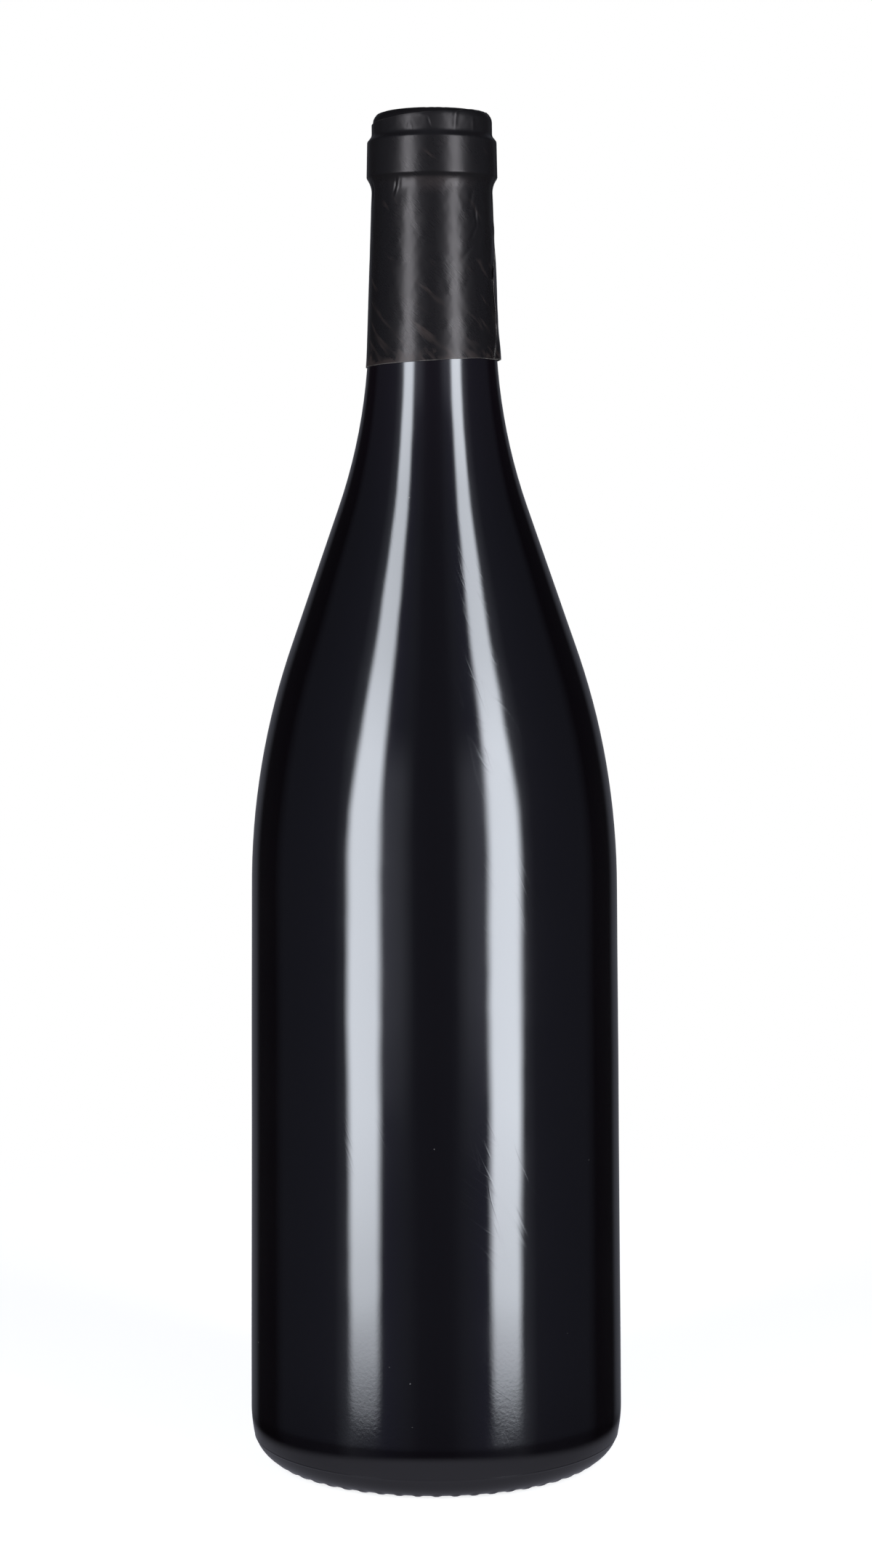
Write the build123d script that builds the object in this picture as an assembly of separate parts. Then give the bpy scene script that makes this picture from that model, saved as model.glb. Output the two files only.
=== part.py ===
from build123d import *
import os
from math import cos, pi, radians, sin, tan

# A 75 cl bottle of wine in a sloping-shouldered mould, closed with a shrunk film capsule.
# Millimetres and degrees, +Z up. The origin is the centre of the base, on the surface it
# stands on. The front is towards -Y and the capsule's lap seam is towards +X.
# The bottle is opaque and shut, so the glass and what it holds are one solid.

# Overall
glass_height = 297.1  # floor to the flat top of the mouth
body_radius = 41.0  # where the heel meets the side wall
body_draft = 0.235  # the wall leans in by this much, for the mould

# Shoulder and neck: an arc, a straight cone and a counter-arc, each tangent to the next
shoulder_arc = 162.5
shoulder_slope = 19.0  # of the cone, from the vertical
neck_arc = 124.0
neck_radius = 14.25  # where the counter-arc runs into the straight neck
neck_length = 35.0  # of the straight neck, up to the band
neck_draft = 1.95  # of the straight neck, which narrows upwards

# Finish: the band under the mouth and the lip above it
band_stand = 1.16  # the band's lower corner stands out this far from the neck
band_height = 7.4
band_draft = 1.3
band_step = 1.8  # height of the slope above the band, and of the one under it
band_corner = 1.0
band_hollow = 1.0  # fillet at the foot of each slope
lip_inset = 1.3  # from the band's upper corner in to the lip
lip_height = 4.9  # from the upper slope to the top
lip_corner = 1.9

# Heel: two arcs and a short flat slope, from the wall down to the bearing ring
heel_wall_arc = 28.8
heel_wall_turn = 11.6
heel_foot_arc = 6.94
heel_slope = 9.8  # of the last stretch, from the floor
heel_slope_run = 2.6  # radial length of that stretch
seam_turn = 7.0  # the mould seam lies this far round the foot arc
seam_bead = 0.2  # radius of the seam's bead
seam_stand = 0.12  # how far the bead stands out

# Bearing ring and the hollow under the base
bearing_width = 4.0  # from the heel's slope in to the corner of the hollow
hollow_depth = 24.0
hollow_top_radius = 9.0
hollow_top_fillet = 12.0
hollow_mouth_fillet = 5.0
knurl_count = 56
knurl_crest = 1.2  # width of each raised bar, at the ring's outer edge
knurl_depth = 0.35

# Film capsule: a sleeve with a lap seam, shrunk over a pressed disc
film = 0.25  # thickness
film_gap = 0.05  # between the film and what it covers
disc_wall = 3.3  # height of the disc's turned-down rim
sleeve_length = 55.65  # from the disc's top down to the sleeve's lower edge, on the axis
sleeve_edge_tilt = 2.9  # the lower edge rises towards +X
sleeve_top_drop = 1.2  # from the disc's top to the sleeve's upper edge, on the axis
sleeve_top_tilt = 5.6  # the upper edge rises towards +X
lap_start = -15.0  # angle of the lap's free edge, from +X
lap_width = 4.3
flap_height = 8.0  # the lap's lower corner lifts over this height
flap_lift = 0.2

# Heights and radii that follow from these, from the top down
lip_foot = glass_height - lip_height
band_top = lip_foot - band_step
band_base = band_top - band_height
neck_top = band_base - band_step
neck_foot = neck_top - neck_length
neck_top_radius = neck_radius - neck_length * tan(radians(neck_draft))
band_radius = neck_top_radius + band_stand
band_top_radius = band_radius - band_height * tan(radians(band_draft))
lip_radius = band_top_radius - lip_inset
disc_off = film_gap + film
disc_top = glass_height + disc_off
sleeve_edge = disc_top - sleeve_length


def arc_rise(radius, start, end):
    """Height that an arc climbs as its lean from the vertical goes from start to end."""
    return radius * abs(sin(radians(end)) - sin(radians(start)))


def arc_spread(radius, start, end):
    """Change of radius along the same arc."""
    return radius * abs(cos(radians(end)) - cos(radians(start)))


def neck_at(height):
    """Radius of the glass at a height on the neck, on its curve or its straight stretch."""
    rise = height - neck_foot
    if rise > 0:
        return neck_radius - rise * tan(radians(neck_draft))
    centre_rise = neck_arc * sin(radians(neck_draft))
    centre_radius = neck_radius + neck_arc * cos(radians(neck_draft))
    return centre_radius - (neck_arc**2 - (rise - centre_rise) ** 2) ** 0.5


def rounded_line(corners):
    """Polyline through (radius, height, fillet) corners, its two ends left sharp."""
    points = [(radius, height) for radius, height, fillet in corners]
    fillets = [fillet for radius, height, fillet in corners[1:-1]]
    return FilletPolyline(*points, radius=fillets)


def finish_corners(neck_off, lip_off):
    """Corners of the outline from the straight neck to the rim, with fillet radii.

    It is moved outwards by neck_off up to the band's top, and by lip_off from there on.
    """
    return [
        (neck_radius + neck_off, neck_foot, 0),
        (neck_top_radius + neck_off, neck_top, band_hollow),
        (band_radius + neck_off, band_base, band_corner),
        (band_top_radius + neck_off, band_top, band_corner),
        (lip_radius + lip_off, lip_foot, band_hollow),
        (lip_radius + lip_off, glass_height + lip_off, lip_corner + lip_off),
    ]


def turned(*edges, arc=360):
    """Solid of revolution about Z of a closed outline given as (radius, height)."""
    return revolve(Plane.XZ * make_face(Curve() + list(edges)), Axis.Z, arc)


def turned_shell(inner, outer):
    """Solid of revolution of the strip between two open outlines."""
    return turned(inner, outer, Line(inner @ 0, outer @ 0), Line(inner @ 1, outer @ 1))


def half_space(height, tilt, above):
    """Block that fills the space above or below a plane that rises towards +X by tilt."""
    size = 2 * glass_height
    side = 1 if above else -1
    return Pos(0, 0, height) * Rot(0, -tilt, 0) * Pos(0, 0, side * size / 2) * Box(size, size, size)


# The wall and the cone share the height and the radius that the arcs leave over
heel_turn = body_draft + heel_wall_turn
heel_height = (
    arc_rise(heel_wall_arc, body_draft, heel_turn)
    + arc_rise(heel_foot_arc, heel_turn, 90 - heel_slope)
    + heel_slope_run * tan(radians(heel_slope))
)
rise_left = neck_foot - heel_height
rise_left -= arc_rise(shoulder_arc, body_draft, shoulder_slope)
rise_left -= arc_rise(neck_arc, shoulder_slope, neck_draft)
spread_left = body_radius - neck_radius
spread_left -= arc_spread(shoulder_arc, body_draft, shoulder_slope)
spread_left -= arc_spread(neck_arc, shoulder_slope, neck_draft)
wall_lean = tan(radians(body_draft))
cone_lean = tan(radians(shoulder_slope))
cone_rise = (spread_left - rise_left * wall_lean) / (cone_lean - wall_lean)
wall_rise = rise_left - cone_rise

# Outline of the glass from the wall up to the axis
wall = Line(
    (body_radius, heel_height),
    (body_radius - wall_rise * wall_lean, heel_height + wall_rise),
)
shoulder = JernArc(wall @ 1, wall % 1, shoulder_arc, shoulder_slope - body_draft)
cone = Line(shoulder @ 1, shoulder @ 1 + Vector(-cone_rise * cone_lean, cone_rise))
neck_curve = JernArc(cone @ 1, cone % 1, neck_arc, neck_draft - shoulder_slope)
finish = rounded_line(finish_corners(0, 0) + [(0, glass_height, 0)])

# Outline of the heel, from the wall down to the floor
foot_turn = 90 - heel_slope - heel_turn
heel_wall = JernArc(wall @ 0, -(wall % 0), heel_wall_arc, -heel_wall_turn)
heel_foot = JernArc(heel_wall @ 1, heel_wall % 1, heel_foot_arc, -foot_turn)
bearing_radius = (heel_foot @ 1).X - heel_slope_run
heel_end = Line(heel_foot @ 1, (bearing_radius, 0))

# Outline of the bearing ring and the hollow, from the heel to the axis
underside = rounded_line([
    (bearing_radius, 0, 0),
    (bearing_radius - bearing_width, 0, hollow_mouth_fillet),
    (hollow_top_radius, hollow_depth, hollow_top_fillet),
    (0, hollow_depth, 0),
])
axis_line = Line((0, hollow_depth), (0, glass_height))
glass = turned(
    wall, shoulder, cone, neck_curve, finish,
    heel_wall, heel_foot, heel_end, underside, axis_line,
)

# Mould seam round the heel
seam = heel_foot @ (seam_turn / foot_turn)
glass += Pos(0, 0, seam.Y) * Torus(seam.X - seam_bead + seam_stand, seam_bead)

# Knurling: grooves across the bearing ring leave raised bars, one of them on +X
knurl_pitch = 2 * pi * bearing_radius / knurl_count
groove_length = 2 * (bearing_width + knurl_depth / tan(radians(heel_slope)))
groove = Box(groove_length, knurl_pitch - knurl_crest, 2 * knurl_depth)
grooves = PolarLocations(bearing_radius, knurl_count, start_angle=180 / knurl_count)
glass -= [place * groove for place in grooves]


def disc_line(offset):
    """Outline of a face of the disc, from its rim's edge to the axis."""
    return rounded_line([
        (lip_radius + offset, glass_height - disc_wall, 0),
        (lip_radius + offset, glass_height + offset, lip_corner + offset),
        (0, glass_height + offset, 0),
    ])


def sleeve_line(offset):
    """Outline of a face of the sleeve, from the neck's curve up and over the disc's rim."""
    over_disc = disc_off + offset
    roll_end = (lip_radius - lip_corner) / 2
    corners = finish_corners(offset, over_disc) + [(roll_end, glass_height + over_disc, 0)]
    return Wire([*(Pos(offset, 0) * neck_curve).edges(), *rounded_line(corners).edges()])


# The disc over the mouth, with its turned-down rim, which closes at the axis
disc = turned_shell(disc_line(film_gap), disc_line(disc_off))

# Sleeve: a shell over neck, band and lip, made long and then cut to its two skew edges
sleeve = turned_shell(sleeve_line(film_gap), sleeve_line(film_gap + film))

# Lap seam: the sleeve's second layer, up to the band, with its lower corner lifted
lap_top = neck_top - band_step
lap_foot = sleeve_edge - flap_height / 2
flap_top = sleeve_edge + flap_height
lap_inner = film_gap + film / 2
lap_outer = film_gap + 2 * film
foot_lift = flap_lift * (flap_top - lap_foot) / flap_height
lap_outline = Polyline(
    (neck_at(lap_foot) + lap_inner, lap_foot),
    (neck_at(lap_foot) + lap_outer + foot_lift, lap_foot),
    (neck_at(flap_top) + lap_outer, flap_top),
    (neck_at(lap_top) + lap_outer, lap_top),
    (neck_at(lap_top) + lap_inner, lap_top),
    close=True,
)
lap_angle = lap_width / neck_radius * 180 / pi
sleeve += Rot(0, 0, lap_start) * turned(lap_outline, arc=lap_angle)

sleeve -= half_space(sleeve_edge, sleeve_edge_tilt, above=False)
sleeve -= half_space(disc_top - sleeve_top_drop, sleeve_top_tilt, above=True)

nodes = {
    "glass_bottle": glass,
    "capsule_top_disc": disc,
    "capsule_sleeve": sleeve,
}
os.makedirs("parts", exist_ok=True)
for name, shape in nodes.items():
    export_step(shape, f"parts/{name}.step")
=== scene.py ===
"""The looks of a shut 75 cl bottle of wine: dark moulded glass under a shrunk film capsule.

Sizes are millimetres and degrees unless a name says otherwise, and meshes are written in metres.
Angles round the bottle are azimuths: 0 faces the camera side (-Y) and 90 faces +X.
"""

import logging
from dataclasses import dataclass, field
from enum import Enum
from math import cos, pi, radians, sin, tan

import bpy
import numpy as np
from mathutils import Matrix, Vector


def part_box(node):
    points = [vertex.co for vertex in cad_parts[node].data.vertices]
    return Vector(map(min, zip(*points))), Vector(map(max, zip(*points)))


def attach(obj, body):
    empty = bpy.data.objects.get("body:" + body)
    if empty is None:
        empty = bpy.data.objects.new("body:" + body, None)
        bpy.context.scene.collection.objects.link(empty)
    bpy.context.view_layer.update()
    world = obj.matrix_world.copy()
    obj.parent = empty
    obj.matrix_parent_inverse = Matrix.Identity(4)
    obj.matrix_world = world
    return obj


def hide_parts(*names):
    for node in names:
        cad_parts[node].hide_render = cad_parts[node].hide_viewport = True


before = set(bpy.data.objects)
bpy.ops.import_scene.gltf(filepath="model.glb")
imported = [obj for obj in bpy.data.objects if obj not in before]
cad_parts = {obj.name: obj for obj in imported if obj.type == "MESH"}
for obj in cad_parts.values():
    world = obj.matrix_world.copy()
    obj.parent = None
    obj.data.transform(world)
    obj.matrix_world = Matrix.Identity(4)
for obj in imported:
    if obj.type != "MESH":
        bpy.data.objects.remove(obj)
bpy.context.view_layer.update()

MM = 0.001
# Names the point attribute that places the painted highlight along the film's cut edges
CUT_EDGE = "cut_edge"
log = logging.getLogger("wine_bottle")

Points = np.ndarray
# What a node's input can be linked to
Source = bpy.types.Node | bpy.types.NodeSocket


# ---------------------------------------------------------------- small helpers


def linear_colour(hex_code: str) -> tuple[float, float, float, float]:
    """Turn an sRGB colour into the linear one that shaders take.

    Args:
        hex_code: six hex digits, such as "1b1a1c".

    Returns:
        Linear red, green, blue and an alpha of 1.
    """
    channels = np.array([int(hex_code[i:i + 2], 16) for i in (0, 2, 4)]) / 255.0
    low, high = channels / 12.92, ((channels + 0.055) / 1.055) ** 2.4
    return (*np.where(channels <= 0.04045, low, high).tolist(), 1.0)


def smooth_ramp(value: np.ndarray, start: float, end: float) -> np.ndarray:
    """Ease from 0 at start to 1 at end, as 3t^2 - 2t^3 of the share t of the way."""
    share = np.clip((value - start) / (end - start), 0.0, 1.0)
    return share * share * (3.0 - 2.0 * share)


def bell(value: np.ndarray, width: float) -> np.ndarray:
    """A bell of height 1: e to the power of minus (value / width) squared."""
    return np.exp(-((value / width) ** 2))


def wrapped(angle: np.ndarray) -> np.ndarray:
    """Bring angles in degrees into -180 to 180."""
    return (angle + 180.0) % 360.0 - 180.0


def ripple(
    azimuth: np.ndarray,
    height: np.ndarray,
    seed: int,
    waves: int,
    turns: tuple[int, int],
    lengths: tuple[float, float],
) -> np.ndarray:
    """Gentle unevenness that closes on itself round the bottle.

    It is a sum of waves, each the cosine of a whole number of turns of the azimuth plus a
    share of the height, with a random phase, divided by the root of their number.

    Args:
        azimuth: degrees round the bottle.
        height: millimetres up the bottle.
        seed: start of the random draw.
        waves: how many waves are summed.
        turns: least and most waves round the bottle.
        lengths: least and most wavelength up the bottle.

    Returns:
        Heights of about -1 to 1, in the shape of azimuth and height together.
    """
    draw = np.random.default_rng(seed)
    around = draw.integers(turns[0], turns[1] + 1, waves)
    upward = 2 * pi / draw.uniform(lengths[0], lengths[1], waves) * draw.choice([-1, 1], waves)
    phase = draw.uniform(0, 2 * pi, waves)
    angle = np.radians(azimuth)[..., None] * around + height[..., None] * upward + phase
    return np.cos(angle).sum(-1) / waves**0.5


# ---------------------------------------------------------------- outlines


@dataclass(frozen=True)
class Outline:
    """A drawn line in the half-plane of radius and height, kept as closely spaced points.

    Its outer side is on the right of its direction of travel.
    """

    points: Points

    def __add__(self, other: "Outline") -> "Outline":
        """Join another outline on to the end, without its first point."""
        return Outline(np.vstack([self.points, other.points[1:]]))

    def turned_back(self) -> "Outline":
        """The same line drawn from its other end."""
        return Outline(self.points[::-1])

    @property
    def end(self) -> Points:
        """The last point."""
        return self.points[-1]

    @property
    def lengths(self) -> np.ndarray:
        """Length of line from the start to each point."""
        steps = np.hypot(*np.diff(self.points, axis=0).T)
        return np.concatenate([[0.0], np.cumsum(steps)])

    def at(self, length: np.ndarray) -> tuple[np.ndarray, np.ndarray]:
        """Radius and height at lengths along the line."""
        known = self.lengths
        return (
            np.interp(length, known, self.points[:, 0]),
            np.interp(length, known, self.points[:, 1]),
        )

    def outward(self, length: np.ndarray, reach: float = 0.15) -> tuple[np.ndarray, np.ndarray]:
        """Radial and vertical parts of the outward normal.

        The direction is taken between the points a reach before and after, which eases
        the normal round corners, and is turned a quarter to the right.

        Args:
            length: lengths along the line.
            reach: distance looked at each way.

        Returns:
            The two parts of a unit vector.
        """
        after, before = self.at(length + reach), self.at(length - reach)
        along_r, along_z = after[0] - before[0], after[1] - before[1]
        size = np.hypot(along_r, along_z) + 1e-9
        return along_z / size, -along_r / size

    def rows(self, spacing: np.ndarray) -> np.ndarray:
        """Lengths for mesh rows, spaced as asked at each point of the line.

        The count of rows up to a point is the integral of one over the spacing, and rows
        stand where that count is whole.

        Args:
            spacing: wanted distance between rows at each of the line's points.

        Returns:
            Rising lengths along the line, both ends included.
        """
        known = self.lengths
        share = (1 / spacing[1:] + 1 / spacing[:-1]) / 2
        count = np.concatenate([[0.0], np.cumsum(share * np.diff(known))])
        wanted = np.linspace(0, count[-1], max(int(round(count[-1])), 2) + 1)
        return np.interp(wanted, count, known)


def line(start: Points, end: Points, step: float = 0.05) -> Outline:
    """A straight outline from start to end."""
    start, end = np.asarray(start, float), np.asarray(end, float)
    count = max(int(np.hypot(*(end - start)) / step), 1) + 1
    return Outline(np.linspace(start, end, count))


def arc(start: Points, lean_from: float, lean_to: float, radius: float) -> Outline:
    """An arc whose lean from the vertical goes from one angle to the other.

    With lean L at each point, the radius is the start's plus R (cos L - cos L0) and the
    height is the start's minus R (sin L - sin L0). A negative R bends it inwards.

    Args:
        start: first point.
        lean_from: outward lean at the start, in degrees.
        lean_to: outward lean at the end.
        radius: of the arc, negative where it is hollow.

    Returns:
        The arc, with a point every half degree or closer.
    """
    lean = np.radians(np.linspace(lean_from, lean_to, int(abs(lean_to - lean_from) * 3) + 8))
    across = radius * (np.cos(lean) - cos(lean[0]))
    rise = -radius * (np.sin(lean) - sin(lean[0]))
    return Outline(np.asarray(start, float) + np.stack([across, rise], 1))


def rounded_line(corners: list[tuple[float, float, float]]) -> Outline:
    """A line through corners, each rounded with its own fillet.

    At a corner, the fillet's centre lies on the bisector of the two runs, and the arc goes
    from the foot on one run to the foot on the other.

    Args:
        corners: radius, height and fillet radius of each corner.

    Returns:
        The outline, its two ends left sharp.
    """
    spots = np.array([corner[:2] for corner in corners])
    drawn = Outline(spots[:1])
    for i in range(1, len(corners) - 1):
        back = (spots[i - 1] - spots[i]) / np.hypot(*(spots[i - 1] - spots[i]))
        ahead = (spots[i + 1] - spots[i]) / np.hypot(*(spots[i + 1] - spots[i]))
        half = np.arccos(np.clip(back @ ahead, -1, 1)) / 2
        foot = corners[i][2] / tan(half)
        middle = back + ahead
        centre = spots[i] + middle / np.hypot(*middle) * corners[i][2] / sin(half)
        first, last = spots[i] + back * foot - centre, spots[i] + ahead * foot - centre
        turn = np.arctan2(first[0] * last[1] - first[1] * last[0], first @ last)
        angle = np.arctan2(first[1], first[0]) + np.linspace(0, turn, 40)
        bend = centre + corners[i][2] * np.stack([np.cos(angle), np.sin(angle)], 1)
        drawn = drawn + line(drawn.end, bend[0]) + Outline(bend)
    return drawn + line(drawn.end, spots[-1])


# ---------------------------------------------------------------- meshes


@dataclass
class MeshDraft:
    """Vertices and triangles gathered from grids, strips and poles before a mesh is made."""

    places: list[np.ndarray] = field(default_factory=list)
    wraps: list[np.ndarray] = field(default_factory=list)
    edges: list[np.ndarray] = field(default_factory=list)
    faces: list[np.ndarray] = field(default_factory=list)
    count: int = 0

    def add_points(
        self, place: np.ndarray, wrap: np.ndarray, edge: float | np.ndarray = 0.0
    ) -> np.ndarray:
        """Add vertices.

        Args:
            place: positions in millimetres, the last axis being x, y, z.
            wrap: pattern coordinates in millimetres, the last axis being u, v.
            edge: strength of the painted highlight where a vertex lies on a cut edge of film, 0
                elsewhere.

        Returns:
            Vertex numbers in the shape of the points.
        """
        shape = place.shape[:-1]
        numbers = np.arange(self.count, self.count + int(np.prod(shape))).reshape(shape)
        self.places.append(place.reshape(-1, 3))
        self.wraps.append(wrap.reshape(-1, 2))
        self.edges.append(np.broadcast_to(edge, shape).reshape(-1))
        self.count += numbers.size
        return numbers

    def add_grid(self, numbers: np.ndarray, closed: bool) -> None:
        """Cover a grid of vertex numbers, rows by columns, with triangles facing outwards.

        Args:
            numbers: vertex numbers, the azimuth rising along each row.
            closed: join each row's last vertex to its first.
        """
        right = np.roll(numbers, -1, 1) if closed else numbers[:, 1:]
        left = numbers if closed else numbers[:, :-1]
        a, b, c, d = left[:-1], right[:-1], right[1:], left[1:]
        self.faces.append(np.stack([a, b, c], -1).reshape(-1, 3))
        self.faces.append(np.stack([a, c, d], -1).reshape(-1, 3))

    def add_pole(self, ring: np.ndarray, place: np.ndarray, upward: bool) -> None:
        """Close a ring of vertices with a fan round one more vertex on the axis."""
        tip = int(self.add_points(place[None], np.zeros((1, 2)))[0])
        after = np.roll(ring, -1)
        first, second = (ring, after) if upward else (after, ring)
        self.faces.append(np.stack([first, second, np.full_like(ring, tip)], -1))

    def add_strip(
        self, near: np.ndarray, far: np.ndarray, near_at: np.ndarray, far_at: np.ndarray
    ) -> None:
        """Join two rows of vertices that may differ in number.

        Each step along one row makes a triangle with the vertex of the other row that the
        middle of the step lies beside.

        Args:
            near: vertex numbers along the first row.
            far: vertex numbers along the row on its left, seen from outside.
            near_at: rising positions of the first row's vertices.
            far_at: rising positions of the other row's vertices.
        """
        near_mid, far_mid = (near_at[1:] + near_at[:-1]) / 2, (far_at[1:] + far_at[:-1]) / 2
        beside_far = far[np.searchsorted(far_mid, near_mid, "left")]
        beside_near = near[np.searchsorted(near_mid, far_mid, "right")]
        self.faces.append(np.stack([near[:-1], near[1:], beside_far], -1))
        self.faces.append(np.stack([far[1:], far[:-1], beside_near], -1))

    def build(self, name: str, wrap_name: str, dress: bpy.types.Material) -> bpy.types.Object:
        """Make the mesh object, in metres, with its pattern map in metres too.

        Args:
            name: of the piece.
            wrap_name: of its UV map.
            dress: its material.

        Returns:
            The object, linked to the scene and smooth all over.
        """
        place = (np.vstack(self.places) * MM).astype(np.float32)
        wrap = np.vstack(self.wraps) * MM
        faces = np.vstack(self.faces).astype(np.int32)
        mesh = bpy.data.meshes.new(name)
        mesh.vertices.add(len(place))
        mesh.vertices.foreach_set("co", place.ravel())
        mesh.loops.add(faces.size)
        mesh.loops.foreach_set("vertex_index", faces.ravel())
        mesh.polygons.add(len(faces))
        mesh.polygons.foreach_set("loop_start", np.arange(0, faces.size, 3, dtype=np.int32))
        mesh.update(calc_edges=True)
        mesh.polygons.foreach_set("use_smooth", np.ones(len(faces), bool))
        layer = mesh.uv_layers.new(name=wrap_name)
        corners = wrap[faces.ravel()]
        # A triangle across the map's join would smear the pattern, so its low corners move on
        by_face = corners[:, 0].reshape(-1, 3)
        span = np.ptp(wrap[:, 0]) or 1.0
        torn = np.ptp(by_face, 1) > span / 2
        by_face[torn] = np.where(by_face[torn] < wrap[:, 0].mean(), by_face[torn] + span, by_face[torn])
        corners[:, 0] = by_face.ravel()
        layer.data.foreach_set("uv", corners.astype(np.float32).ravel())
        edge = mesh.attributes.new(name=CUT_EDGE, type="FLOAT", domain="POINT")
        edge.data.foreach_set("value", np.concatenate(self.edges).astype(np.float32))
        mesh.validate()
        mesh.materials.append(dress)
        return link(name, mesh)


def link(name: str, data: bpy.types.ID) -> bpy.types.Object:
    """Make an object of a mesh or a camera and link it to the scene."""
    made = bpy.data.objects.new(name, data)
    bpy.context.scene.collection.objects.link(made)
    return made


def around(azimuth: np.ndarray, radius: np.ndarray, height: np.ndarray) -> np.ndarray:
    """Points at an azimuth: x is the radius times its sine, y minus its cosine, z the height."""
    turn = np.radians(azimuth)
    azimuth, radius, height = np.broadcast_arrays(turn, radius, height)
    return np.stack([radius * np.sin(azimuth), -radius * np.cos(azimuth), height], -1)


# ---------------------------------------------------------------- shader graph


class Graph:
    """A node tree being built, for a material or the world."""

    def __init__(self, owner: bpy.types.Material | bpy.types.World) -> None:
        """Start an empty tree on its owner."""
        owner.use_nodes = True
        self.tree = owner.node_tree
        self.tree.nodes.clear()

    @staticmethod
    def shown(
        sockets: bpy.types.bpy_prop_collection, name: str | None = None
    ) -> bpy.types.NodeSocket:
        """The first socket that the node's settings show, or the first one of that name."""
        return next(socket for socket in sockets if socket.enabled and name in (None, socket.name))

    def add(self, kind: str, links: dict | None = None, **settings: object) -> bpy.types.Node:
        """Add one node with its settings and links.

        Args:
            kind: Blender's name for the node, without "ShaderNode".
            links: socket name or number to a value, to another node's output, or to another
                node, which stands for its first output.
            settings: the node's own properties.

        Returns:
            The node.
        """
        node = self.tree.nodes.new("ShaderNode" + kind)
        for key, value in settings.items():
            setattr(node, key, value)
        for key, value in (links or {}).items():
            socket = node.inputs[key] if isinstance(key, int) else self.shown(node.inputs, key)
            if isinstance(value, bpy.types.Node):
                value = self.shown(value.outputs)
            if isinstance(value, bpy.types.NodeSocket):
                self.tree.links.new(value, socket)
            else:
                socket.default_value = value
        return node


def stops(node: bpy.types.Node, places: list[tuple[float, object]]) -> None:
    """Set a colour ramp's stops, with straight runs between them.

    Args:
        node: the colour ramp.
        places: position and grey level, or hex colour, of each stop.
    """
    ramp = node.color_ramp
    while len(ramp.elements) < len(places):
        ramp.elements.new(0.5)
    for element, (position, level) in zip(ramp.elements, places):
        element.position = position
        element.color = linear_colour(level) if isinstance(level, str) else (level, level, level, 1)


def streaky_noise(
    g: Graph, wrap: Source, lean: float, size: tuple[float, float], detail: float, bend: float = 0.0
) -> bpy.types.Node:
    """A noise drawn out into streaks that run down to the right.

    Args:
        g: takes the nodes.
        wrap: the piece's own map, in metres.
        lean: of the streaks from the level, in degrees.
        size: length and width of a streak, in metres.
        detail: of the noise.
        bend: how far the streaks wander.

    Returns:
        The noise.
    """
    laid = {"Vector": wrap, "Rotation": (0, 0, radians(-lean)), "Scale": (*size, 1)}
    slant = g.add("Mapping", laid, vector_type="TEXTURE")
    return g.add("TexNoise", {"Vector": slant, "Scale": 1.0, "Detail": detail, "Distortion": bend})


# ---------------------------------------------------------------- finishes


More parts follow.
